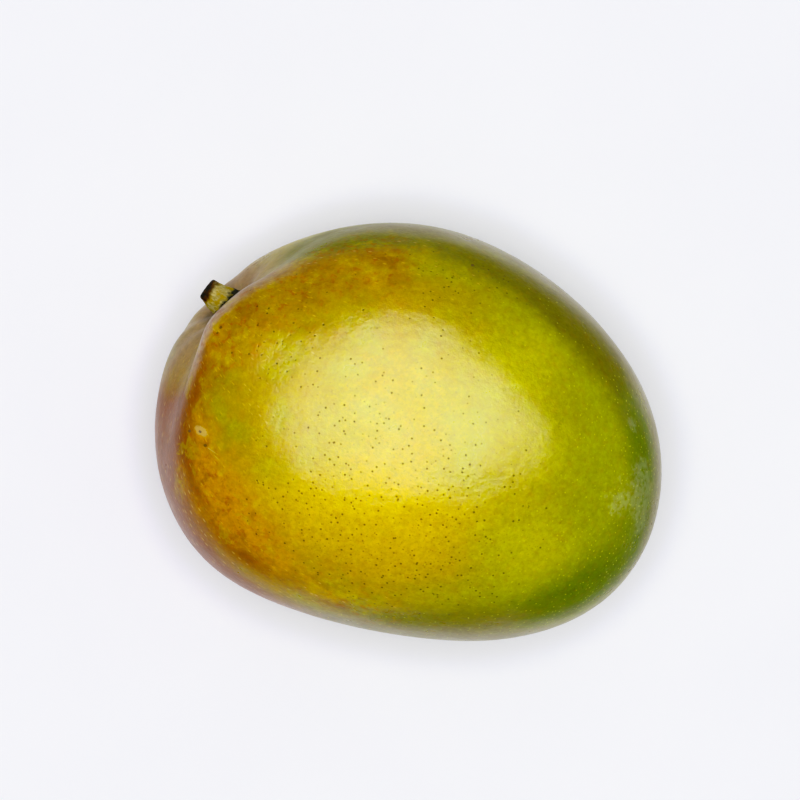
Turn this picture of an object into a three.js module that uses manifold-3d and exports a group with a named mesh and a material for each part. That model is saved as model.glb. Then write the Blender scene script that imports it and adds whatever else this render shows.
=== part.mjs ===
// A whole mango lying on its cheek, in millimetres, with +Z up.
// The origin is the middle of the small flat spot that the fruit rests on. +X runs from the
// stem end to the apex, and +Y points to the fruit's back, the fuller side that the stem leans to.
// The fruit is a slightly squared ellipsoid with a few broad swellings and a basin for the stem.

import * as THREE from 'three';
import { mergeVertices } from 'three/addons/utils/BufferGeometryUtils.js';
import Module from 'manifold-3d';

const wasm = await Module();
wasm.setup();

// The ellipsoid under the swellings, from end to end along each axis
const CORE_LENGTH = 120;
const CORE_WIDTH = 93;
const CORE_HEIGHT = 84;

// How square the upright sections are: 2 is an ellipse
const SECTION_POWER = 2.2;

// How far the cheek is pressed flat where it rests
const FLAT_DEPTH = 0.7;

// Broad swellings of the body. Azimuth is counted from +X towards +Y and elevation from level,
// both from the middle of the fruit; spread is the angle over which a swelling fades.
const SWELLINGS = [
  { name: 'back', azimuth: 101, elevation: 0, spread: 40, height: 3.2 },
  { name: 'heel', azimuth: 224, elevation: 0, spread: 28, height: 4.8 },
  { name: 'nose', azimuth: 332, elevation: 0, spread: 30, height: 4 },
  { name: 'basin lip', azimuth: 162.5, elevation: 25.5, spread: 13, height: 3.4 },
];

// The stem grows from a basin: a round funnel in a valley that is broad along the level. The
// half-width and half-height are the distances over which each hollow fades, as shares of the
// distance to the middle.
const HOLLOWS = [
  { name: 'valley', azimuth: 165.5, elevation: 14.5, depth: 6.9, halfWidth: 0.44, halfHeight: 0.165 },
  { name: 'funnel', azimuth: 159, elevation: 5, depth: 4.9, halfWidth: 0.17, halfHeight: 0.125 },
];

// The stem stub: where it leaves the basin's floor, where it points, and its radii. It narrows
// from its collar to a waist, and from there to the cut tip.
const STEM_FOOT = { azimuth: 159, elevation: 6.5 };
const STEM_AIM = { azimuth: 158, elevation: 10 };
const STEM_LENGTH = 8.5;
const STEM_ROOT = 3;
const ROOT_RADIUS = 2.8;
const COLLAR_RADIUS = 5;
const COLLAR_SINK = 1;
const COLLAR_EDGE = 0.4;
const WAIST_HEIGHT = 5.2;
const WAIST_RADIUS = 3.4;
const FLARE_POWER = 1.3;
const TIP_RADIUS = 2.6;
const TIP_BEVEL = 0.35;

// Clearance that the stem keeps in its socket
const GAP = 0.3;

// How finely the surfaces are divided
const FRUIT_SLICES = 64;
const FRUIT_RINGS = 56;
const RING_CROWDING = 0.45;
const STEM_SIDES = 24;
const FLARE_STEPS = 5;

function direction({ azimuth, elevation }) {
  const turn = THREE.MathUtils.degToRad(azimuth);
  const rise = THREE.MathUtils.degToRad(elevation);
  return new THREE.Vector3(
    Math.cos(rise) * Math.cos(turn),
    Math.cos(rise) * Math.sin(turn),
    Math.sin(rise),
  );
}

const CENTRE = new THREE.Vector3(0, 0, CORE_HEIGHT / 2 - FLAT_DEPTH);
const UP = new THREE.Vector3(0, 0, 1);

// Distance from the middle to the ellipsoid, whose upright sections are slightly squared
function coreRadius(heading) {
  const level = Math.hypot(heading.x / (CORE_LENGTH / 2), heading.y / (CORE_WIDTH / 2));
  const upright = Math.abs(heading.z) / (CORE_HEIGHT / 2);
  return (level ** SECTION_POWER + upright ** SECTION_POWER) ** (-1 / SECTION_POWER);
}

function swellingAt(heading, swelling) {
  const angle = heading.angleTo(direction(swelling));
  return swelling.height * Math.exp(-((angle / THREE.MathUtils.degToRad(swelling.spread)) ** 2));
}

function hollowAt(heading, hollow) {
  const floor = direction(hollow);
  if (heading.dot(floor) < 0) return 0;
  const side = new THREE.Vector3().crossVectors(UP, floor).normalize();
  const over = new THREE.Vector3().crossVectors(floor, side);
  const across = heading.dot(side) / hollow.halfWidth;
  const along = heading.dot(over) / hollow.halfHeight;
  return hollow.depth * Math.exp(-(across ** 2) - along ** 2);
}

// Distance from the fruit's middle to its skin
function skinRadius(heading) {
  const swollen = SWELLINGS.reduce((sum, swelling) => sum + swellingAt(heading, swelling), 0);
  const sunk = HOLLOWS.reduce((sum, hollow) => sum + hollowAt(heading, hollow), 0);
  return coreRadius(heading) + swollen - sunk;
}

function skinPoint(heading) {
  return heading.clone().multiplyScalar(skinRadius(heading)).add(CENTRE);
}

// Only positions are kept, with shared corners merged, so that the surface is closed
function closed(geometry) {
  geometry.deleteAttribute('normal');
  geometry.deleteAttribute('uv');
  return mergeVertices(geometry, 1e-5);
}

function toSolid(geometry) {
  const vertProperties = new Float32Array(geometry.attributes.position.array);
  const triVerts = new Uint32Array(geometry.index.array);
  return new wasm.Manifold(new wasm.Mesh({ numProp: 3, vertProperties, triVerts }));
}

function toGeometry(solid) {
  const { vertProperties, triVerts, numProp } = solid.getMesh();
  const geometry = new THREE.BufferGeometry();
  const corners = new THREE.InterleavedBuffer(vertProperties, numProp);
  geometry.setAttribute('position', new THREE.InterleavedBufferAttribute(corners, 3, 0));
  geometry.setIndex(new THREE.BufferAttribute(triVerts, 1));
  return geometry;
}

// A sphere whose pole looks along the stem and whose rings crowd towards it, drawn out to the skin
function skinGeometry() {
  const sphere = closed(new THREE.SphereGeometry(1, FRUIT_SLICES, FRUIT_RINGS));
  const pole = new THREE.Vector3(0, 1, 0);
  const turn = new THREE.Quaternion().setFromUnitVectors(pole, direction(STEM_FOOT));
  const corners = sphere.attributes.position;
  const heading = new THREE.Vector3();
  for (let i = 0; i < corners.count; i += 1) {
    heading.fromBufferAttribute(corners, i);
    const angle = heading.angleTo(pole);
    const axis = new THREE.Vector3().crossVectors(heading, pole).normalize();
    heading.applyAxisAngle(axis, RING_CROWDING * Math.sin(angle));
    heading.applyQuaternion(turn).normalize();
    const point = skinPoint(heading);
    corners.setXYZ(i, point.x, point.y, point.z);
  }
  return sphere;
}

// The stub's outline from its root to its cut tip, grown outwards by a clearance
function stemProfile(grow) {
  const flare = (share) => {
    const narrowing = (1 - share) ** FLARE_POWER;
    return WAIST_RADIUS + (COLLAR_RADIUS - WAIST_RADIUS) * narrowing;
  };
  const points = [
    [0, -STEM_ROOT - grow],
    [ROOT_RADIUS + grow, -STEM_ROOT - grow],
    [ROOT_RADIUS + grow, -COLLAR_SINK - grow],
    [COLLAR_RADIUS + grow, -grow],
  ];
  for (let step = 0; step <= FLARE_STEPS; step += 1) {
    const share = step / FLARE_STEPS;
    points.push([flare(share) + grow, COLLAR_EDGE + share * (WAIST_HEIGHT - COLLAR_EDGE)]);
  }
  points.push(
    [TIP_RADIUS + grow, STEM_LENGTH - TIP_BEVEL],
    [TIP_RADIUS - TIP_BEVEL + grow, STEM_LENGTH + grow],
    [0, STEM_LENGTH + grow],
  );
  return points.map(([radius, height]) => new THREE.Vector2(radius, height));
}

function stemGeometry(grow) {
  const lathe = closed(new THREE.LatheGeometry(stemProfile(grow), STEM_SIDES));
  const turn = new THREE.Quaternion().setFromUnitVectors(
    new THREE.Vector3(0, 1, 0),
    direction(STEM_AIM),
  );
  const foot = skinPoint(direction(STEM_FOOT));
  lathe.applyQuaternion(turn);
  lathe.translate(foot.x, foot.y, foot.z);
  return lathe;
}

// A block that fills the space under the level z = 0
function restingSpace() {
  const block = new THREE.BoxGeometry(CORE_LENGTH, CORE_WIDTH, CORE_HEIGHT);
  block.translate(0, 0, -CORE_HEIGHT / 2);
  return closed(block);
}

function makeFruit() {
  const solid = toSolid(skinGeometry())
    .subtract(toSolid(restingSpace()))
    .subtract(toSolid(stemGeometry(GAP)));
  const skin = new THREE.MeshStandardMaterial({ color: '#b3a008', roughness: 0.38, metalness: 0 });
  const fruit = new THREE.Mesh(toGeometry(solid), skin);
  fruit.name = 'fruit';
  return fruit;
}

function makeStem() {
  const bark = new THREE.MeshStandardMaterial({ color: '#6e5a22', roughness: 0.8, metalness: 0 });
  const stem = new THREE.Mesh(stemGeometry(0), bark);
  stem.name = 'stem';
  return stem;
}

const mango = new THREE.Group();
mango.add(makeFruit(), makeStem());

export default mango;
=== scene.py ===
import math

import bpy
import numpy as np
from mathutils import Matrix, Vector, noise


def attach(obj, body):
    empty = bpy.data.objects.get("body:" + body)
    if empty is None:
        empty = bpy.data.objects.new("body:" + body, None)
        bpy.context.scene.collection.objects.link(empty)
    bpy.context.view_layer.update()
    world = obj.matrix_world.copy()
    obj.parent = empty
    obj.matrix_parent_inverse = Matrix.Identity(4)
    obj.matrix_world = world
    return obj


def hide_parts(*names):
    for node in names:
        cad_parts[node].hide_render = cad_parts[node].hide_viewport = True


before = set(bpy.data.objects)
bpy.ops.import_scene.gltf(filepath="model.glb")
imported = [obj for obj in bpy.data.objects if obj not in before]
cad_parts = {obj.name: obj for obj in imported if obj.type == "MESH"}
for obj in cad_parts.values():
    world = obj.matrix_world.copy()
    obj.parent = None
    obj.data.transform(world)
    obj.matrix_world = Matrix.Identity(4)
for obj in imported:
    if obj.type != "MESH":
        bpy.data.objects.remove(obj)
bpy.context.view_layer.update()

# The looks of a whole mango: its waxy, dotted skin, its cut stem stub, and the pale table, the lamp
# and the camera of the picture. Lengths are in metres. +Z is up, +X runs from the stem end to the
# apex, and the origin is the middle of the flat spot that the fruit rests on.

MM = 0.001

# The fruit's form, with the same values as the solid
CORE = np.array([120, 93, 84]) / 2 * MM
SECTION_POWER = 2.2
FLAT_DEPTH = 0.7 * MM
CENTRE = np.array([0, 0, CORE[2] - FLAT_DEPTH])
SWELLINGS = (
    {"azimuth": 101, "elevation": 0, "spread": 40, "height": 3.2 * MM},
    {"azimuth": 224, "elevation": 0, "spread": 28, "height": 4.8 * MM},
    {"azimuth": 332, "elevation": 0, "spread": 30, "height": 4 * MM},
    {"azimuth": 162.5, "elevation": 25.5, "spread": 13, "height": 3.4 * MM},
)
HOLLOWS = (
    {"azimuth": 165.5, "elevation": 14.5, "depth": 6.9 * MM, "half_width": 0.44, "half_height": 0.165},
    {"azimuth": 159, "elevation": 5, "depth": 4.9 * MM, "half_width": 0.17, "half_height": 0.125},
)
STEM_FOOT = {"azimuth": 159, "elevation": 6.5}
STEM_AIM = {"azimuth": 158, "elevation": 10}
STEM_LENGTH = 8.5 * MM
COLLAR_RADIUS = 5 * MM
COLLAR_EDGE = 0.4 * MM
WAIST_HEIGHT = 5.2 * MM
WAIST_RADIUS = 3.4 * MM
FLARE_POWER = 1.3
TIP_RADIUS = 2.6 * MM

# Shallow unevenness of the skin: how far it rises and falls, and over what length
UNEVENNESS = (
    {"size": 24 * MM, "height": 0.22 * MM},
    {"size": 9 * MM, "height": 0.05 * MM},
)

# Folds that run out of the stem basin: their number and height, how far from the stem they reach, as
# an angle, the share of that reach over which they rise, how unevenly they lie and how they are turned
FOLD_COUNT = 9
FOLD_HEIGHT = 0.22 * MM
FOLD_REACH = 0.42
FOLD_RISE = 0.4
FOLD_SPACING = 2.5
FOLD_TURN = 0.6

# How finely the skin and the stem are divided, and how far the skin's rings crowd towards the stem
SKIN_SLICES = 420
SKIN_RINGS = 230
RING_CROWDING = 0.45
STEM_SIDES = 72
FLARE_RINGS = 24
NECK_RINGS = 15

# The photograph's view: straight down and turned, with the picture's width at the fruit's middle
CAMERA_HEIGHT = 0.6
CAMERA_TURN = math.radians(15.06)
PICTURE_MIDDLE = (-3.8 * MM, 7.6 * MM)
PICTURE_WIDTH = 190 * MM
SENSOR_WIDTH = 36


def heading_of(azimuth, elevation, **_):
    turn, rise = math.radians(azimuth), math.radians(elevation)
    return np.array([math.cos(rise) * math.cos(turn), math.cos(rise) * math.sin(turn), math.sin(rise)])


# The skin's form


def core_radius(headings):
    level = np.hypot(headings[:, 0] / CORE[0], headings[:, 1] / CORE[1])
    upright = np.abs(headings[:, 2]) / CORE[2]
    return (level**SECTION_POWER + upright**SECTION_POWER) ** (-1 / SECTION_POWER)


def swelling_at(headings, swelling):
    angle = np.arccos(np.clip(headings @ heading_of(**swelling), -1, 1))
    return swelling["height"] * np.exp(-((angle / math.radians(swelling["spread"])) ** 2))


def hollow_at(headings, hollow):
    floor = heading_of(**hollow)
    side = np.cross([0, 0, 1], floor)
    side /= np.linalg.norm(side)
    over = np.cross(floor, side)
    across = headings @ side / hollow["half_width"]
    along = headings @ over / hollow["half_height"]
    return np.where(headings @ floor > 0, hollow["depth"] * np.exp(-(across**2) - along**2), 0)


def skin_radius(headings):
    radius = core_radius(headings)
    for swelling in SWELLINGS:
        radius = radius + swelling_at(headings, swelling)
    for hollow in HOLLOWS:
        radius = radius - hollow_at(headings, hollow)
    return radius


def skin_points(headings):
    return CENTRE + headings * skin_radius(headings)[:, None]


def stem_axes():
    """The direction in which the stem leaves the fruit, and two directions square to it."""
    pole = heading_of(**STEM_FOOT)
    side = np.cross([0, 0, 1], pole)
    side /= np.linalg.norm(side)
    return pole, side, np.cross(pole, side)


def sphere_headings():
    """Directions over a sphere whose pole looks along the stem, with rings crowding towards it."""
    ring = np.linspace(0, math.pi, SKIN_RINGS + 1)[1:-1]
    ring = ring - RING_CROWDING * np.sin(ring)
    turn = np.linspace(0, 2 * math.pi, SKIN_SLICES, endpoint=False)
    away, around = np.meshgrid(ring, turn, indexing="ij")
    pole, side, over = stem_axes()
    body = (
        np.cos(away)[..., None] * pole
        + (np.sin(away) * np.cos(around))[..., None] * side
        + (np.sin(away) * np.sin(around))[..., None] * over
    )
    return np.vstack([pole, body.reshape(-1, 3), -pole])


def around_stem(headings):
    """How far each direction is from the stem, and its turn about the stem, as angles."""
    pole, side, over = stem_axes()
    away = np.arccos(np.clip(headings @ pole, -1, 1))
    return away, np.arctan2(headings @ over, headings @ side)


def unevenness(headings):
    """Small rises and falls of a grown skin, and the folds near the stem."""
    away, around = around_stem(headings)
    start = 1 - np.exp(-((away / (FOLD_REACH * FOLD_RISE)) ** 2))
    fade = np.exp(-((away / FOLD_REACH) ** 2)) * start
    folds = np.sin(FOLD_COUNT * around + FOLD_SPACING * np.sin(around) + FOLD_TURN)
    rise = FOLD_HEIGHT * fade * folds
    for step in UNEVENNESS:
        places = headings * CORE.max() / step["size"]
        rise = rise + step["height"] * np.array([noise.noise(Vector(place)) for place in places])
    return rise


def neighbours(sides):
    """Each place on a ring of points with the one that follows it."""
    return [(step, (step + 1) % sides) for step in range(sides)]


def band_faces(near, far, sides):
    """Quads between two rings of points, of which near and far are the first."""
    return [(near + here, far + here, far + after, near + after) for here, after in neighbours(sides)]


def fan_faces(middle, ring, sides):
    """Triangles from a middle point to a ring of points, of which ring is the first."""
    return [(middle, ring + here, ring + after) for here, after in neighbours(sides)]


def turned_over(faces):
    """The faces looking the other way, each with its first corner kept first."""
    return [(face[0], *face[:0:-1]) for face in faces]


def sphere_faces():
    """Quads between the rings, and a fan of triangles round each pole."""
    last = 1 + (SKIN_RINGS - 1) * SKIN_SLICES
    faces = fan_faces(0, 1, SKIN_SLICES)
    for near in range(1, last - SKIN_SLICES, SKIN_SLICES):
        faces += band_faces(near, near + SKIN_SLICES, SKIN_SLICES)
    return faces + turned_over(fan_faces(last, last - SKIN_SLICES, SKIN_SLICES))


def mesh_object(name, points, faces):
    mesh = bpy.data.meshes.new(name)
    mesh.from_pydata([tuple(p) for p in points], [], faces)
    mesh.polygons.foreach_set("use_smooth", [True] * len(mesh.polygons))
    mesh.update()
    made = bpy.data.objects.new(name, mesh)
    bpy.context.scene.collection.objects.link(made)
    return made


# Colour areas of the skin. A patch is round: x and y are a place seen from above in mm, side is 1
# on the cheek that looks up and -1 on the one below, and spread is the distance in mm over which the
# patch fades.
PATCHES = {
    "light_gold": (
        {"x": 2, "y": -20, "side": 1, "spread": 17, "strength": 1.0},
        {"x": -20, "y": -22, "side": 1, "spread": 10, "strength": 0.6},
        {"x": -37, "y": -20, "side": 1, "spread": 6, "strength": 0.5},
    ),
    "lime": (
        {"x": 21, "y": 24, "side": 1, "spread": 10, "strength": 0.8},
        {"x": 31, "y": -17, "side": 1, "spread": 11, "strength": 0.8},
    ),
    "ochre": (
        {"x": -38, "y": 22, "side": 1, "spread": 17, "strength": 1.0},
        {"x": -48, "y": 6, "side": 1, "spread": 12, "strength": 0.7},
        {"x": -18, "y": 37, "side": 1, "spread": 11, "strength": 0.7},
        {"x": -6, "y": 24, "side": 1, "spread": 12, "strength": 0.3},
        {"x": 2, "y": -40, "side": 1, "spread": 11, "strength": 0.6},
        {"x": -40, "y": -10, "side": -1, "spread": 30, "strength": 0.7},
    ),
    "amber": (
        {"x": -42, "y": -21, "side": 1, "spread": 12, "strength": 1.0},
        {"x": -47, "y": -10, "side": 1, "spread": 7, "strength": 0.5},
        {"x": -30, "y": -29, "side": 1, "spread": 11, "strength": 0.7},
        {"x": -48, "y": 9, "side": 1, "spread": 8, "strength": 0.7},
        {"x": -16, "y": 33, "side": 1, "spread": 8, "strength": 0.4},
        {"x": -10, "y": -36, "side": 1, "spread": 12, "strength": 0.4},
    ),
    "rust": (
        {"x": -14, "y": 36, "side": 1, "spread": 6, "strength": 0.45},
        {"x": -28, "y": 31, "side": 1, "spread": 5, "strength": 0.35},
        {"x": -49, "y": -3, "side": 1, "spread": 5, "strength": 0.5},
    ),
    "dark_dots": (
        {"x": -2, "y": 0, "side": 1, "spread": 22, "strength": 0.8},
        {"x": 8, "y": -24, "side": 1, "spread": 20, "strength": 1.0},
        {"x": -18, "y": -22, "side": 1, "spread": 14, "strength": 0.5},
        {"x": 2, "y": 36, "side": 1, "spread": 10, "strength": 0.9},
        {"x": -34, "y": 18, "side": 1, "spread": 16, "strength": 0.35},
        {"x": 0, "y": 0, "side": -1, "spread": 50, "strength": 0.7},
    ),
    # Darker green near the top rim: partly the skin's own colour, partly painted shade where the side
    # turns from the light
    "moss": (
        {"x": -30, "y": 37, "side": 1, "spread": 10, "strength": 1.0},
        {"x": -18, "y": 42, "side": 1, "spread": 8, "strength": 0.7},
    ),
    "green": (
        {"x": 62, "y": 4, "side": 1, "spread": 50, "strength": 1.25},
        {"x": 22, "y": 30, "side": 1, "spread": 13, "strength": 0.22},
        {"x": 30, "y": -28, "side": 1, "spread": 13, "strength": 0.25},
        {"x": 44, "y": 0, "side": -1, "spread": 50, "strength": 1.2},
        {"x": 0, "y": 46, "side": -1, "spread": 36, "strength": 0.6},
    ),
}

# A band is wide along the level and tall across it. All four are angles in degrees on the fruit drawn
# in to a ball, and wide and tall are those over which the band fades.
BANDS = {
    "rust": (
        {"azimuth": 239, "elevation": 31, "wide": 13, "tall": 6, "strength": 0.75},
        {"azimuth": 214, "elevation": 33, "wide": 9, "tall": 4, "strength": 0.35},
        {"azimuth": 196, "elevation": 31, "wide": 11, "tall": 6, "strength": 1.1},
        {"azimuth": 190, "elevation": 27, "wide": 8, "tall": 5, "strength": 0.6},
        {"azimuth": 175, "elevation": 38, "wide": 9, "tall": 5, "strength": 0.6},
    ),
    # Darker green bands near the rim: partly the skin's own colour, partly painted shade where the side
    # turns from the light
    "moss": (
        {"azimuth": 108, "elevation": 16, "wide": 26, "tall": 15, "strength": 0.7},
        {"azimuth": 296, "elevation": 30, "wide": 17, "tall": 10, "strength": 0.9},
        {"azimuth": 275, "elevation": 28, "wide": 14, "tall": 6, "strength": 0.5},
    ),
    # Darker bands near the rim: partly the skin's own olive, partly painted shade where the side turns
    # from the light
    "olive": (
        {"azimuth": 50, "elevation": 27, "wide": 26, "tall": 12, "strength": 1.1},
        {"azimuth": 84, "elevation": 29, "wide": 16, "tall": 8, "strength": 0.5},
        {"azimuth": 109, "elevation": 25, "wide": 14, "tall": 6, "strength": 0.75},
    ),
    # Darker green bands near the rim: partly the skin's own deep green, partly painted shade where the
    # side turns from the light
    "deep_green": (
        {"azimuth": 322, "elevation": 28, "wide": 19, "tall": 12, "strength": 0.95},
        {"azimuth": 350, "elevation": 30, "wide": 12, "tall": 9, "strength": 0.2},
        {"azimuth": 350, "elevation": 16, "wide": 20, "tall": 9, "strength": 0.9},
        {"azimuth": 18, "elevation": 27, "wide": 17, "tall": 10, "strength": 0.85},
    ),
    # Pale grey-green bands near the rim are painted sheen, the grazing reflection of the table; the wide
    # band round the underside is a pale bloom-like tone of the skin
    "khaki": (
        {"azimuth": 266, "elevation": 10, "wide": 16, "tall": 17, "strength": 0.9},
        {"azimuth": 294, "elevation": 11, "wide": 20, "tall": 17, "strength": 1.1},
        {"azimuth": 62, "elevation": 11, "wide": 36, "tall": 13, "strength": 1.0},
        {"azimuth": 330, "elevation": 3, "wide": 24, "tall": 12, "strength": 0.6},
        {"azimuth": 172, "elevation": 0, "wide": 12, "tall": 13, "strength": 0.6},
        {"azimuth": 104, "elevation": 15, "wide": 15, "tall": 9, "strength": 0.7},
        {"azimuth": 8, "elevation": 13, "wide": 28, "tall": 9, "strength": 0.7},
        {"azimuth": 0, "elevation": -24, "wide": 200, "tall": 24, "strength": 0.65},
    ),
    # Pale beige-grey of the stem end's valley and far shoulder: painted sheen, the grazing reflection of
    # the table
    "dusty": (
        {"azimuth": 151, "elevation": 4, "wide": 17, "tall": 18, "strength": 0.95},
        {"azimuth": 155, "elevation": 32, "wide": 19, "tall": 6, "strength": 0.8},
        {"azimuth": 176, "elevation": 12, "wide": 12, "tall": 12, "strength": 0.6},
    ),
    "blush": (
        {"azimuth": 193, "elevation": 24, "wide": 10, "tall": 8, "strength": 0.45},
        {"azimuth": 199, "elevation": 8, "wide": 16, "tall": 23, "strength": 1.1},
        {"azimuth": 226, "elevation": 8, "wide": 18, "tall": 21, "strength": 1.0},
        {"azimuth": 250, "elevation": 8, "wide": 14, "tall": 16, "strength": 0.7},
        {"azimuth": 210, "elevation": -30, "wide": 34, "tall": 26, "strength": 0.9},
    ),
    # A pale line along the basin's lip: painted sheen where the lip's edge turns away
    "pale_lip": (
        {"azimuth": 163, "elevation": 35, "wide": 13, "tall": 3, "strength": 0.95},
    ),
    # A dark patch round the stem's foot: painted shade in the basin under the stem
    "sap": (
        {"azimuth": 158, "elevation": 7, "wide": 5, "tall": 6, "strength": 0.9},
    ),
    "bloom": (
        {"azimuth": 2, "elevation": 27, "wide": 5, "tall": 4, "strength": 1.1},
        {"azimuth": 9, "elevation": 29, "wide": 4, "tall": 4, "strength": 0.8},
        {"azimuth": 353, "elevation": 24, "wide": 4, "tall": 4, "strength": 0.9},
        {"azimuth": 358, "elevation": 37, "wide": 8, "tall": 7, "strength": 0.65},
        {"azimuth": 23, "elevation": 31, "wide": 2.5, "tall": 3, "strength": 0.8},
        {"azimuth": 335, "elevation": 28, "wide": 6, "tall": 3, "strength": 0.4},
    ),
    "pale_dots": (
        {"azimuth": 0, "elevation": 20, "wide": 50, "tall": 34, "strength": 1.0},
        {"azimuth": 290, "elevation": 0, "wide": 40, "tall": 24, "strength": 1.0},
        {"azimuth": 20, "elevation": -40, "wide": 90, "tall": 40, "strength": 0.8},
    ),
    "pale_flecks": (
        {"azimuth": 200, "elevation": 30, "wide": 50, "tall": 26, "strength": 1.0},
        {"azimuth": 240, "elevation": 0, "wide": 40, "tall": 24, "strength": 1.0},
        {"azimuth": 120, "elevation": 40, "wide": 40, "tall": 16, "strength": 0.5},
        {"azimuth": 200, "elevation": -40, "wide": 60, "tall": 30, "strength": 0.8},
    ),
}
AREAS = sorted({*PATCHES, *BANDS})

# The fruit's mean radius in mm, which turns a patch's spread into an angle
MEAN_RADIUS = 50

# How much longer the streaks round the stem are than wide
STREAK_LENGTHS = 1.8


def rounded(points):
    """Points of the skin, drawn in to a ball of radius 1."""
    ball = (points - CENTRE) / CORE
    return ball / np.linalg.norm(ball, axis=1)[:, None]


def patch_at(ball, x, y, side, spread, strength):
    level = np.array([x * MM / CORE[0], y * MM / CORE[1]])
    reach = np.linalg.norm(level)
    if reach > 1:
        level, reach = level / reach, 1
    place = np.array([*level, side * math.sqrt(1 - reach**2)])
    angle = np.arccos(np.clip(ball @ place, -1, 1))
    return strength * np.exp(-((angle * MEAN_RADIUS / spread) ** 2))


def band_at(ball, azimuth, elevation, wide, tall, strength):
    turn = np.degrees(np.arctan2(ball[:, 1], ball[:, 0])) - azimuth
    turn = (turn + 180) % 360 - 180
    rise = np.degrees(np.arcsin(np.clip(ball[:, 2], -1, 1)))
    level = np.cos(np.radians(rise))
    return strength * np.exp(-((turn * level / wide) ** 2) - ((rise - elevation) / tall) ** 2)


def paint_areas(skin, points, headings):
    """Each area's strength, and the coordinates that streaks follow, kept on the skin's points."""
    ball = rounded(points)
    for name in AREAS:
        field = sum(patch_at(ball, **patch) for patch in PATCHES.get(name, ()))
        field = field + sum(band_at(ball, **band) for band in BANDS.get(name, ()))
        attribute = skin.data.attributes.new(name, "FLOAT", "POINT")
        attribute.data.foreach_set("value", np.clip(field, 0, 1).astype(np.float32))
    away, around = around_stem(headings)
    streak = np.stack([np.cos(around), np.sin(around), away / STREAK_LENGTHS], axis=1) * CORE[1]
    attribute = skin.data.attributes.new("streak", "FLOAT_VECTOR", "POINT")
    attribute.data.foreach_set("vector", streak.astype(np.float32).ravel())


def make_skin():
    headings = sphere_headings()
    points = skin_points(headings) + headings * unevenness(headings)[:, None]
    points[:, 2] = np.maximum(points[:, 2], 0)
    skin = mesh_object("mango_skin", points, sphere_faces())
    paint_areas(skin, points, headings)
    return skin


# Materials


def paint(red, green, blue):
    """A colour given in 8-bit sRGB, as the linear colour that the nodes take."""
    shares = [level / 255 for level in (red, green, blue)]
    return (*[s / 12.92 if s <= 0.04045 else ((s + 0.055) / 1.055) ** 2.4 for s in shares], 1)


class Graph:
    """A material's nodes, with short names for the kinds used here."""

    # Sockets of the colour mix node, by place, because their names repeat
    MIX_FACTOR = 0
    MIX_FIRST = 6
    MIX_SECOND = 7
    MIX_RESULT = 2

    def __init__(self, name):
        self.material = bpy.data.materials.new(name)
        self.material.use_nodes = True
        self.tree = self.material.node_tree
        self.shader = self.tree.nodes["Principled BSDF"]

    def put(self, socket, value):
        if isinstance(value, bpy.types.NodeSocket):
            self.tree.links.new(value, socket)
        else:
            socket.default_value = value

    def node(self, kind, inputs, **settings):
        made = self.tree.nodes.new(kind)
        for key, value in settings.items():
            setattr(made, key, value)
        for key, value in inputs.items():
            self.put(made.inputs[key], value)
        return made

    def place(self):
        return self.tree.nodes.new("ShaderNodeTexCoord").outputs["Object"]

    def field(self, name, output="Fac"):
        return self.node("ShaderNodeAttribute", {}, attribute_name=name).outputs[output]

    def noise(self, place, size, detail=3, roughness=0.55, distortion=0.0):
        inputs = {"Vector": place, "Scale": 1 / size, "Detail": detail, "Roughness": roughness}
        inputs["Distortion"] = distortion
        return self.node("ShaderNodeTexNoise", inputs).outputs["Fac"]

    def math(self, operation, *values):
        return self.node("ShaderNodeMath", dict(enumerate(values)), operation=operation).outputs[0]

    def vector(self, operation, *values, output="Vector"):
        made = self.node("ShaderNodeVectorMath", dict(enumerate(values)), operation=operation)
        return made.outputs[output]

    def ramp(self, value, low, high, start=0.0, end=1.0):
        inputs = {"Value": value, "From Min": low, "From Max": high, "To Min": start, "To Max": end}
        made = self.node("ShaderNodeMapRange", inputs, interpolation_type="SMOOTHSTEP")
        return made.outputs["Result"]

    def mix(self, factor, first, second, blend="MIX"):
        made = self.node("ShaderNodeMix", {}, data_type="RGBA", blend_type=blend)
        self.put(made.inputs[self.MIX_FACTOR], factor)
        self.put(made.inputs[self.MIX_FIRST], first)
        self.put(made.inputs[self.MIX_SECOND], second)
        return made.outputs[self.MIX_RESULT]

    def bump(self, height, distance, normal=None):
        inputs = {"Height": height, "Distance": distance, "Strength": 1.0}
        if normal is not None:
            inputs["Normal"] = normal
        return self.node("ShaderNodeBump", inputs).outputs["Normal"]


# The skin's noises: the size of their clouds, and how fine, rough and twisted they are
NOISES = {
    "cloud": {"size": 20 * MM, "detail": 4},
    "blotch": {"size": 9 * MM, "detail": 5, "roughness": 0.6},
    "tints": {"size": 5 * MM, "detail": 6, "roughness": 0.65, "distortion": 0.5},
    "ripple": {"size": 2.6 * MM, "detail": 4, "roughness": 0.6},
    "specks": {"size": 1.7 * MM, "detail": 4, "roughness": 0.6, "distortion": 0.3},
    "fine": {"size": 1.2 * MM, "detail": 4, "roughness": 0.6},
    "grain": {"size": 0.7 * MM, "detail": 3, "roughness": 0.6},
}
STREAKS = {"size": 5 * MM, "detail": 6, "roughness": 0.65, "distortion": 0.4}

# The ground colour, in two tones that drift into each other, with golden blotches
GROUND = ((156, 144, 36), (163, 142, 38))
GOLDEN = (157, 152, 28)
GOLDEN_SHARE = 0.7
GOLDEN_EDGE = (0.55, 0.35)

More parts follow.
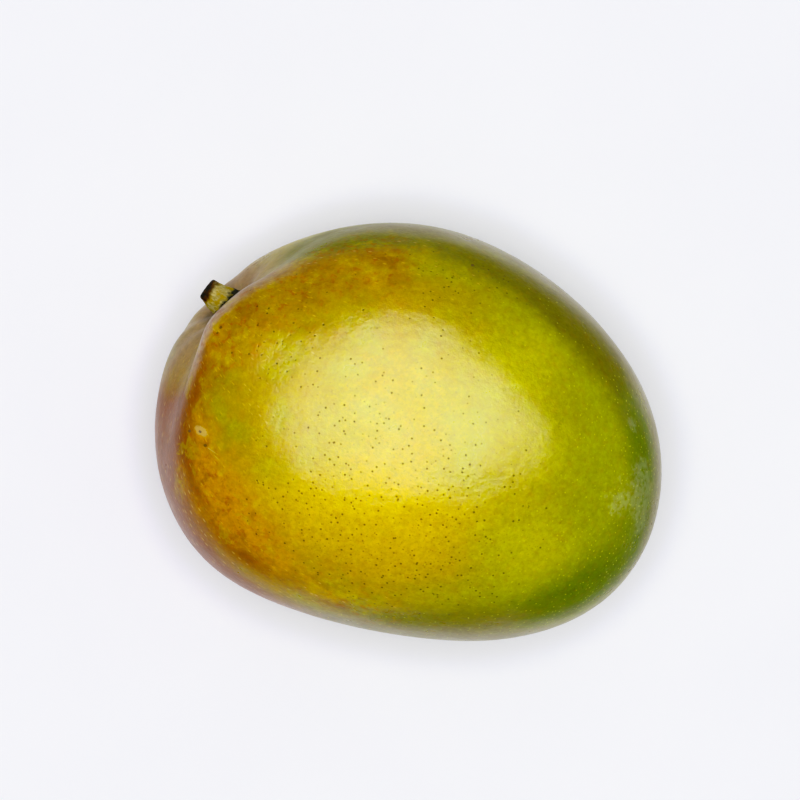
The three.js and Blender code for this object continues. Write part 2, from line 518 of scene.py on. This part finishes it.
# The colours laid over the ground, in this order, each over its area. breaker is the noise that
# breaks up the area's edge, depth is by how much, and edge is where the colour starts and is full.
SOFT_EDGE = (0.05, 0.95)
LAYERS = (
    {"area": "light_gold", "breaker": "cloud", "depth": 0.3, "edge": SOFT_EDGE, "tint": (194, 169, 50)},
    {"area": "ochre", "breaker": "blotch", "depth": 0.8, "edge": SOFT_EDGE, "tint": (157, 129, 32)},
    {"area": "amber", "breaker": "blotch", "depth": 0.9, "edge": SOFT_EDGE, "tint": (186, 145, 36)},
    {"area": "green", "breaker": "blotch", "depth": 0.3, "edge": (0.1, 0.85), "tint": (149, 152, 28)},
    {"area": "lime", "breaker": "blotch", "depth": 0.4, "edge": SOFT_EDGE, "tint": (172, 168, 34)},
    # Darker near the rim: partly the skin's own olive, partly painted shade
    {"area": "olive", "breaker": "tints", "depth": 0.7, "edge": (0.1, 0.8), "tint": (110, 106, 6)},
    # Darker near the rim: partly the skin's own deep green, partly painted shade
    {"area": "deep_green", "breaker": "blotch", "depth": 0.4, "edge": (0.1, 0.85), "tint": (98, 114, 4)},
    # Darker near the rim: partly the skin's own moss green, partly painted shade
    {"area": "moss", "breaker": "tints", "depth": 0.6, "edge": (0.1, 0.9), "tint": (118, 116, 8)},
    {"area": "rust", "breaker": "streaks", "depth": 1.0, "edge": (0.1, 0.9), "tint": (138, 88, 14)},
    # Painted sheen near the rims (the table's grazing reflection), and a pale tone round the underside
    {"area": "khaki", "breaker": "streaks", "depth": 0.7, "edge": SOFT_EDGE, "tint": (136, 128, 84)},
    # Painted sheen on the stem end's valley and far shoulder (the table's grazing reflection)
    {"area": "dusty", "breaker": "streaks", "depth": 0.5, "edge": (0.05, 0.85), "tint": (154, 131, 98)},
    # Painted sheen along the basin's lip
    {"area": "pale_lip", "breaker": "streaks", "depth": 0.6, "edge": (0.0, 1.0), "tint": (168, 146, 120)},
    {"area": "blush", "breaker": "streaks", "depth": 0.5, "edge": SOFT_EDGE, "tint": (132, 84, 46)},
    # Painted shade round the stem's foot in the basin
    {"area": "sap", "breaker": "tints", "depth": 0.9, "edge": (0.2, 0.8), "tint": (58, 52, 30)},
)

# Mottles of the warm areas: the noise and where in it they start and are full, the warmth at which
# they gather, and how strongly they show away from the warm areas and in them
MOTTLES = {
    "brown": {"noise": "tints", "shown": (0.5, 0.63), "warmth": 0.1, "strength": (0.05, 0.5)},
    "light": {"noise": "tints", "shown": (0.48, 0.36), "warmth": 0.1, "strength": (0.05, 0.5)},
    "rusty": {"noise": "specks", "shown": (0.53, 0.65), "warmth": 0.2, "strength": (0.1, 0.55)},
    "yellow": {"noise": "specks", "shown": (0.46, 0.35), "warmth": 0.2, "strength": (0.3, 0.7)},
}
MOTTLE_TINTS = {"brown": (130, 90, 20), "light": (174, 158, 36), "rusty": (154, 96, 14)}
YELLOW_GAIN = (1.15, 1.25, 1.1, 1)

# How far the finer noises darken and lighten the colour
SHADES = (
    {"noise": "ripple", "span": (0.25, 0.75), "gain": (0.92, 1.07)},
    {"noise": "fine", "span": (0.25, 0.75), "gain": (0.9, 1.08)},
    {"noise": "grain", "span": (0.3, 0.7), "gain": (0.93, 1.06)},
)

# The skin's dots, in the order in which they are laid: the area where they show, whether they lie in
# streaks round the stem, the size of the cells that hold one each, and the radius as a share of it
DOTS = {
    "pale": {
        "area": "pale_dots", "streaked": False, "size": 1.0 * MM, "radius": 0.27,
        "strength": 0.65, "tint": (192, 194, 96),
    },
    "flecks": {
        "area": "pale_flecks", "streaked": True, "size": 1.3 * MM, "radius": 0.26,
        "strength": 0.5, "tint": (200, 178, 110),
    },
    "faint": {
        "area": "dark_dots", "streaked": False, "size": 0.95 * MM, "radius": 0.27,
        "strength": 0.3, "tint": (96, 90, 26),
    },
    "dark": {
        "area": "dark_dots", "streaked": False, "size": 1.3 * MM, "radius": 0.27,
        "strength": 0.7, "tint": (58, 52, 22),
    },
}

# The share of a dot's radius that has its full colour, and how softly dots thin out at an area's edge
DOT_CORE = 0.35
DOT_LUCK = 0.25

# The pale waxy bloom: how ragged its areas are, where they start and are full, and its grains
BLOOM_DEPTH = 1.5
BLOOM_EDGE = (0.3, 0.7)
BLOOM_GRAINS = (0.3, 0.55)
BLOOM_STRENGTH = 0.4
BLOOM_TINT = (154, 160, 124)

# The skin's gloss: its roughness, how much rougher bloom and scars are, the mirror strength of bright
# and of dull skin, and how dull the areas are
GLOSS_CLOUDS = 9 * MM
ROUGHNESS = (0.27, 0.34)
WORN_ROUGHNESS = 0.25
MIRROR = (0.5, 0.12)
DULLNESS = {"deep_green": 1.0, "olive": 1.0, "moss": 0.9, "dusty": 0.8, "rust": 0.7}

# How high the bumps of the skin are
GRAIN_BUMP = 0.025 * MM
RIPPLE_BUMP = 0.085 * MM
PIT_BUMP = 0.02 * MM
BLOTCH_BUMP = 0.25 * MM

# The middle part of a noise's range, over which most of it changes
NOISE_SPAN = (0.3, 0.7)


def mottled(g, field, breaker, depth, edge):
    """A field whose edge is broken up by a noise."""
    shifted = g.math("MULTIPLY_ADD", breaker, depth, g.math("ADD", field, -depth / 2))
    return g.ramp(shifted, *edge)


def dots(g, place, size, radius, shown):
    """Small round dots, one in each cell that passes near the surface, where shown is high."""
    cells = g.node("ShaderNodeTexVoronoi", {"Vector": place, "Scale": 1 / size})
    inside = g.ramp(cells.outputs["Distance"], radius * DOT_CORE, radius, 1, 0)
    luck = g.node("ShaderNodeSeparateColor", {"Color": cells.outputs["Color"]}).outputs["Red"]
    kept = g.ramp(g.math("SUBTRACT", shown, luck), 0, DOT_LUCK)
    return g.math("MULTIPLY", inside, kept)


# Small marks on the upper cheek, seen from above: middle, half length and half width in mm, and
# the turn of the length from +X in degrees
MARKS = {
    "scar": ({"x": -45.3, "y": -10.8, "long": 2.0, "wide": 1.15, "turn": 163},),
    "scratch": (
        {"x": -41.6, "y": -14.4, "long": 1.7, "wide": 0.24, "turn": 163},
        {"x": -40.2, "y": -15.6, "long": 0.9, "wide": 0.2, "turn": 155},
    ),
    "spot": (
        {"x": -45.5, "y": -11.0, "long": 0.42, "wide": 0.3, "turn": 160},
        {"x": -48.1, "y": -11.6, "long": 0.4, "wide": 0.35, "turn": 0},
        {"x": -43.5, "y": -13.7, "long": 0.45, "wide": 0.35, "turn": 0},
        {"x": -47.0, "y": 12.9, "long": 0.45, "wide": 0.35, "turn": 60},
        {"x": -47.4, "y": 11.5, "long": 0.3, "wide": 0.25, "turn": 60},
        {"x": 4.2, "y": 41.5, "long": 0.45, "wide": 0.35, "turn": 0},
    ),
}

# How a mark's edge is worn, where in it the mark is full and where it ends, and the marks' colours
MARK_WEAR = 0.5 * MM
MARK_WEAR_DEPTH = 0.9
MARK_EDGE = (0.65, 1.15)
SCAR_STRENGTH = 0.65
SCAR_TINT = (188, 168, 112)
SPOT_STRENGTH = 0.8
SPOT_TINT = (84, 66, 40)


def mark(g, place, x, y, long, wide, turn):
    """An oval with a worn edge."""
    shifted = g.vector("SUBTRACT", place, (x * MM, y * MM, 0))
    inputs = {"Vector": shifted, "Axis": (0, 0, 1), "Angle": -math.radians(turn)}
    level = g.node("ShaderNodeVectorRotate", inputs).outputs["Vector"]
    shrunk = g.vector("MULTIPLY", level, (1 / (long * MM), 1 / (wide * MM), 0))
    reach = g.vector("LENGTH", shrunk, output="Value")
    worn = mottled(g, reach, g.noise(place, MARK_WEAR), MARK_WEAR_DEPTH, MARK_EDGE)
    return g.math("SUBTRACT", 1, worn)


def marks(g, place, kind):
    """All marks of a kind, on the upper cheek only."""
    height = g.node("ShaderNodeSeparateXYZ", {"Vector": place}).outputs["Z"]
    total = 0.0
    for each in MARKS[kind]:
        total = g.math("MAXIMUM", mark(g, place, **each), total)
    return g.math("MULTIPLY", total, g.math("GREATER_THAN", height, CENTRE[2]))


def ground_colour(g, noises):
    ground = g.mix(g.ramp(noises["cloud"], *NOISE_SPAN), *[paint(*tone) for tone in GROUND])
    golden = g.mix(g.ramp(noises["blotch"], *GOLDEN_EDGE), ground, paint(*GOLDEN))
    return g.mix(GOLDEN_SHARE, ground, golden)


def layered(g, colour, noises, areas):
    """The colour with each layer laid over its area."""
    for layer in LAYERS:
        breaker = noises[layer["breaker"]]
        shown = mottled(g, areas[layer["area"]], breaker, layer["depth"], layer["edge"])
        colour = g.mix(shown, colour, paint(*layer["tint"]))
    return colour


def with_mottles(g, colour, noises, areas):
    """The colour with the mottles that gather in its warm areas, and its finer shades."""
    warm = g.math("ADD", areas["ochre"], areas["amber"])
    for name, mottle in MOTTLES.items():
        spots = g.ramp(noises[mottle["noise"]], *mottle["shown"])
        strength = g.ramp(warm, mottle["warmth"], 1, *mottle["strength"])
        if name in MOTTLE_TINTS:
            tint = paint(*MOTTLE_TINTS[name])
        else:
            tint = g.mix(1.0, colour, YELLOW_GAIN, "MULTIPLY")
        colour = g.mix(g.math("MULTIPLY", spots, strength), colour, tint)
    for shade in SHADES:
        gain = g.ramp(noises[shade["noise"]], *shade["span"], *shade["gain"])
        colour = g.mix(1.0, colour, gain, "MULTIPLY")
    return colour


def with_dots(g, colour, place, streak, areas):
    """The colour with the dots laid over it, and where the dark ones are."""
    laid = {}
    for name, kind in DOTS.items():
        space = streak if kind["streaked"] else place
        laid[name] = dots(g, space, kind["size"], kind["radius"], areas[kind["area"]])
        colour = g.mix(g.math("MULTIPLY", laid[name], kind["strength"]), colour, paint(*kind["tint"]))
    return colour, laid["dark"]


def gloss(g, place, worn, dark, areas):
    """The skin's roughness and its mirror strength."""
    clouds = g.ramp(g.noise(place, GLOSS_CLOUDS), *NOISE_SPAN, *ROUGHNESS)
    roughness = g.math("MULTIPLY_ADD", worn, WORN_ROUGHNESS, clouds)
    dull = dark
    for name, share in DULLNESS.items():
        dull = g.math("MAXIMUM", dull, g.math("MULTIPLY", areas[name], share))
    return roughness, g.ramp(dull, 0, 1, *MIRROR)


def skin_material():
    g = Graph("mango_skin")
    place = g.place()
    streak = g.field("streak", "Vector")
    noises = {name: g.noise(place, **kind) for name, kind in NOISES.items()}
    noises["streaks"] = g.noise(streak, **STREAKS)
    areas = {name: g.field(name) for name in AREAS}
    colour = layered(g, ground_colour(g, noises), noises, areas)
    colour = with_mottles(g, colour, noises, areas)

    colour, dark = with_dots(g, colour, place, streak, areas)

    scar, scratch, spot = (marks(g, place, kind) for kind in ("scar", "scratch", "spot"))
    scarred = g.math("MULTIPLY", g.math("MAXIMUM", scar, scratch), SCAR_STRENGTH)
    colour = g.mix(scarred, colour, paint(*SCAR_TINT))
    colour = g.mix(g.math("MULTIPLY", spot, SPOT_STRENGTH), colour, paint(*SPOT_TINT))

    patches = mottled(g, areas["bloom"], noises["ripple"], BLOOM_DEPTH, BLOOM_EDGE)
    bloom = g.math("MULTIPLY", patches, g.ramp(noises["fine"], *BLOOM_GRAINS))
    colour = g.mix(g.math("MULTIPLY", bloom, BLOOM_STRENGTH), colour, paint(*BLOOM_TINT))
    g.put(g.shader.inputs["Base Color"], colour)

    roughness, mirror = gloss(g, place, g.math("MAXIMUM", bloom, scar), dark, areas)
    g.put(g.shader.inputs["Roughness"], roughness)
    g.put(g.shader.inputs["Specular IOR Level"], mirror)

    peel = g.bump(noises["grain"], GRAIN_BUMP)
    wavy = g.bump(noises["ripple"], RIPPLE_BUMP, peel)
    pitted = g.bump(g.math("SUBTRACT", scar, dark), PIT_BUMP, wavy)
    g.put(g.shader.inputs["Normal"], g.bump(noises["blotch"], BLOTCH_BUMP, pitted))
    return g.material


# The stem's bark: fibres in two tones, yellow flecks, and bands by height, which counts from 0 at
# the basin's floor to 1 at the tip. The last band is the collar, near black as painted shade where
# the stem sits down in the basin.
FIBRE_SIZE = 0.5 * MM
FIBRE_STRETCH = (0.35, 1, 1)
FIBRE_TINTS = ((136, 124, 62), (182, 172, 126))
FIBRE_BUMP = 0.25 * MM
FLECK_SIZE = 1.6 * MM
FLECK_EDGE = (0.46, 0.66)
FLECK_STRENGTH = 0.8
FLECK_TINT = (154, 132, 30)
BARK_WANDER = 0.4
BARK_BANDS = (
    {"edge": (0.74, 0.92), "shown": (0, 1), "tint": (70, 46, 6)},
    {"edge": (0.88, 0.98), "shown": (0, 1), "tint": (22, 19, 6)},
    # The collar: painted shade where the stem sits in the basin
    {"edge": (0.36, 0.48), "shown": (1, 0), "tint": (30, 30, 14)},
)
BARK_ROUGHNESS = (0.7, 0.9)
BARK_MIRROR = 0.2


def stem_material():
    g = Graph("mango_stem")
    place = g.place()
    stretched = g.vector("MULTIPLY", place, FIBRE_STRETCH)
    fibre = g.noise(stretched, FIBRE_SIZE, detail=5, roughness=0.65)
    fleck = g.noise(place, FLECK_SIZE, detail=4)
    bark = g.mix(g.ramp(fibre, *NOISE_SPAN), *[paint(*tone) for tone in FIBRE_TINTS])
    bark = g.mix(g.ramp(fleck, *FLECK_EDGE, 0, FLECK_STRENGTH), bark, paint(*FLECK_TINT))
    height = g.math("ADD", g.field("height"), -BARK_WANDER / 2)
    height = g.math("MULTIPLY_ADD", fleck, BARK_WANDER, height)
    for band in BARK_BANDS:
        bark = g.mix(g.ramp(height, *band["edge"], *band["shown"]), bark, paint(*band["tint"]))
    g.put(g.shader.inputs["Base Color"], bark)
    g.put(g.shader.inputs["Roughness"], g.ramp(fibre, *NOISE_SPAN, *BARK_ROUGHNESS))
    g.put(g.shader.inputs["Specular IOR Level"], BARK_MIRROR)
    g.put(g.shader.inputs["Normal"], g.bump(fibre, FIBRE_BUMP))
    return g.material


# The stem stub. Its sunken root is given by heights, and radii as shares of the collar's; its dished
# cut by heights from the tip, and radii as shares of the tip's.
ROOT_RINGS = ((-1.6 * MM, 0.7), (-0.6 * MM, 0.9))
CUT_RINGS = ((0, 0.9), (-0.15 * MM, 0.75), (-0.3 * MM, 0.4))
RIM_WEAR = 0.25 * MM

# Lumps of the stub: how deep they are, as shares of its radius, and how closely they lie
LUMPS = ((0.08, 1.1), (0.05, 3.5))
LUMPS_PER_MM = 0.25


def stem_rings():
    """Height above the basin's floor and radius, from the sunken root to the cut tip."""
    rings = [(height, COLLAR_RADIUS * share) for height, share in ROOT_RINGS]
    for share in np.linspace(0, 1, FLARE_RINGS):
        flare = (COLLAR_RADIUS - WAIST_RADIUS) * (1 - share) ** FLARE_POWER
        rings.append((COLLAR_EDGE + share * (WAIST_HEIGHT - COLLAR_EDGE), WAIST_RADIUS + flare))
    rim = STEM_LENGTH - RIM_WEAR
    for share in np.linspace(0, 1, NECK_RINGS + 1)[1:]:
        height = WAIST_HEIGHT + share * (rim - WAIST_HEIGHT)
        rings.append((height, WAIST_RADIUS + share * (TIP_RADIUS - WAIST_RADIUS)))
    return rings + [(STEM_LENGTH + height, TIP_RADIUS * share) for height, share in CUT_RINGS]


def lumpy_ring(height, radius):
    """Points of a ring round +Z whose radius swells and shrinks a little."""
    points = []
    for step in range(STEM_SIDES):
        angle = 2 * math.pi * step / STEM_SIDES
        corner = Vector((math.cos(angle), math.sin(angle), height / MM * LUMPS_PER_MM))
        lumpy = radius * (1 + sum(depth * noise.noise(corner * closeness) for depth, closeness in LUMPS))
        points.append((lumpy * math.cos(angle), lumpy * math.sin(angle), height))
    return points


def make_stem():
    rings = stem_rings()
    points = [point for height, radius in rings for point in lumpy_ring(height, radius)]
    last = len(points) - STEM_SIDES
    tip = len(points)
    root = tip + 1
    points += [(0, 0, rings[-1][0]), (0, 0, rings[0][0])]
    faces = fan_faces(tip, last, STEM_SIDES) + turned_over(fan_faces(root, 0, STEM_SIDES))
    for low in range(0, last, STEM_SIDES):
        faces += turned_over(band_faces(low, low + STEM_SIDES, STEM_SIDES))
    stem = mesh_object("mango_stem", points, faces)
    attribute = stem.data.attributes.new("height", "FLOAT", "POINT")
    attribute.data.foreach_set("value", [height / STEM_LENGTH for _, _, height in points])
    foot = skin_points(heading_of(**STEM_FOOT)[None])[0]
    turn = Vector(heading_of(**STEM_AIM)).to_track_quat("Z", "Y").to_matrix().to_4x4()
    stem.data.transform(Matrix.Translation(Vector(foot)) @ turn)
    return stem


# The table, which curves up into the backdrop at its edge, and lies just under the fruit's flat spot
TABLE_RADIUS = 1.1
TABLE_RISE = 0.35
TABLE_DROP = 0.1 * MM
TABLE_RINGS = 20
TABLE_EDGE_RINGS = 16
TABLE_SIDES = 96
TABLE_TINT = (246, 246, 252)
TABLE_CLOUDS = 60 * MM
TABLE_SHADES = (0.985, 1.0)
TABLE_ROUGHNESS = 0.6

# The lamp panel's outline seen from above, and the light it gives off, from its middle outwards
LAMP_HEIGHT = 0.9
LAMP_CORNERS = (
    (-0.76, -0.10), (-0.70, -0.48), (-0.35, -0.52), (0.12, -0.40), (0.50, -0.20), (0.88, 0.02),
    (0.92, 0.20), (0.70, 0.40), (0.56, 0.72), (0.42, 1.05), (0.18, 1.22), (-0.12, 1.12),
    (-0.40, 0.78), (-0.62, 0.42),
)
LAMP_MIDDLE = (-0.05, 0.20, LAMP_HEIGHT)
LAMP_REACH = 1.0
LAMP_RADIANCE = (11.8, 7.4)
LAMP_COLOUR = (0.88, 0.895, 0.98, 1)
BLACK = (0, 0, 0, 1)

# The key light and the light of the room
KEY_PLACE = (0, -0.01, 1.3)
KEY_SIZE = 0.7
KEY_POWER = 12.6
ROOM_COLOUR = (0.3, 0.305, 0.31, 1)


def table_material():
    g = Graph("table")
    clouds = g.noise(g.place(), TABLE_CLOUDS, detail=2)
    shade = g.ramp(clouds, *NOISE_SPAN, *TABLE_SHADES)
    g.put(g.shader.inputs["Base Color"], g.mix(1.0, paint(*TABLE_TINT), shade, "MULTIPLY"))
    g.put(g.shader.inputs["Roughness"], TABLE_ROUGHNESS)
    g.put(g.shader.inputs["Specular IOR Level"], 0)
    return g.material


def table_profile():
    """Radius and height of each ring, from the middle to the top of the backdrop."""
    profile = [(TABLE_RADIUS * step / TABLE_RINGS, 0) for step in range(1, TABLE_RINGS + 1)]
    for step in range(1, TABLE_EDGE_RINGS + 1):
        angle = math.pi / 2 * step / TABLE_EDGE_RINGS
        radius = TABLE_RADIUS + TABLE_RISE * math.sin(angle)
        profile.append((radius, TABLE_RISE * (1 - math.cos(angle))))
    return profile


def make_table():
    points = [(0, 0, 0)]
    for radius, height in table_profile():
        for step in range(TABLE_SIDES):
            angle = 2 * math.pi * step / TABLE_SIDES
            points.append((radius * math.cos(angle), radius * math.sin(angle), height))
    faces = fan_faces(0, 1, TABLE_SIDES)
    for near in range(1, len(points) - TABLE_SIDES, TABLE_SIDES):
        faces += band_faces(near, near + TABLE_SIDES, TABLE_SIDES)
    table = mesh_object("table", points, faces)
    table.location.z = -TABLE_DROP
    table.data.materials.append(table_material())
    return table


def make_lamp():
    """A soft lamp panel overhead, with the outline that the highlight on the skin mirrors."""
    turn = Matrix.Rotation(CAMERA_TURN, 4, "Z")
    points = [turn @ Vector((x, y, LAMP_HEIGHT)) for x, y in LAMP_CORNERS]
    lamp = mesh_object("lamp", points, [tuple(range(len(points)))])
    g = Graph("lamp")
    away = g.vector("DISTANCE", g.place(), turn @ Vector(LAMP_MIDDLE), output="Value")
    g.put(g.shader.inputs["Base Color"], BLACK)
    g.put(g.shader.inputs["Emission Color"], LAMP_COLOUR)
    g.put(g.shader.inputs["Emission Strength"], g.ramp(away, 0, LAMP_REACH, *LAMP_RADIANCE))
    lamp.data.materials.append(g.material)
    lamp.visible_diffuse = False
    lamp.visible_shadow = False
    return lamp


def make_key():
    """The soft light from above that shades the fruit. It shows in no mirror image."""
    data = bpy.data.lights.new("key", "AREA")
    data.shape = "DISK"
    data.size = KEY_SIZE
    data.energy = KEY_POWER
    key = bpy.data.objects.new("key", data)
    key.location = Matrix.Rotation(CAMERA_TURN, 4, "Z") @ Vector(KEY_PLACE)
    key.rotation_euler = Vector(key.location).to_track_quat("Z", "Y").to_euler()
    key.visible_glossy = False
    bpy.context.scene.collection.objects.link(key)


def make_world():
    world = bpy.data.worlds.new("room")
    bpy.context.scene.world = world
    world.use_nodes = True
    world.node_tree.nodes["Background"].inputs["Color"].default_value = ROOM_COLOUR
    world.cycles_visibility.glossy = False


def make_camera():
    data = bpy.data.cameras.new("camera")
    data.sensor_width = SENSOR_WIDTH
    data.lens = SENSOR_WIDTH * (CAMERA_HEIGHT - CENTRE[2]) / PICTURE_WIDTH
    camera = bpy.data.objects.new("camera", data)
    camera.location = (*PICTURE_MIDDLE, CAMERA_HEIGHT)
    camera.rotation_euler = (0, 0, CAMERA_TURN)
    bpy.context.scene.collection.objects.link(camera)
    bpy.context.scene.camera = camera


# The picture's finish: its tone curve, the place of the curve for all channels, and its richness
TONE_CURVE = (
    (0, 0), (0.03, 0.007), (0.06, 0.032), (0.1, 0.072), (0.25, 0.235),
    (0.5, 0.54), (0.7, 0.73), (0.8, 0.8), (0.92, 0.92), (1.1, 0.98),
)
ALL_CHANNELS = 3
SATURATION = 1.24


def grade():
    """A little more contrast and richer colour, with a soft shoulder for the white."""
    scene = bpy.context.scene
    view = scene.view_settings
    view.view_transform = "Standard"
    view.use_curve_mapping = True
    curve = view.curve_mapping.curves[ALL_CHANNELS]
    for place, level in TONE_CURVE[1:-1]:
        curve.points.new(place, level)
    curve.points[-1].location = TONE_CURVE[-1]
    view.curve_mapping.update()
    scene.use_nodes = True
    tree = scene.node_tree
    tree.nodes.clear()
    layers = tree.nodes.new("CompositorNodeRLayers")
    richer = tree.nodes.new("CompositorNodeHueSat")
    richer.inputs["Saturation"].default_value = SATURATION
    output = tree.nodes.new("CompositorNodeComposite")
    tree.links.new(layers.outputs["Image"], richer.inputs["Image"])
    tree.links.new(richer.outputs["Image"], output.inputs["Image"])


make_camera()
make_world()
make_key()
make_table()
make_lamp()

skin = make_skin()
skin.data.materials.append(skin_material())
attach(skin, "root")
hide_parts("fruit")

stem = make_stem()
stem.data.materials.append(stem_material())
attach(stem, "root")
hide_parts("stem")

grade()
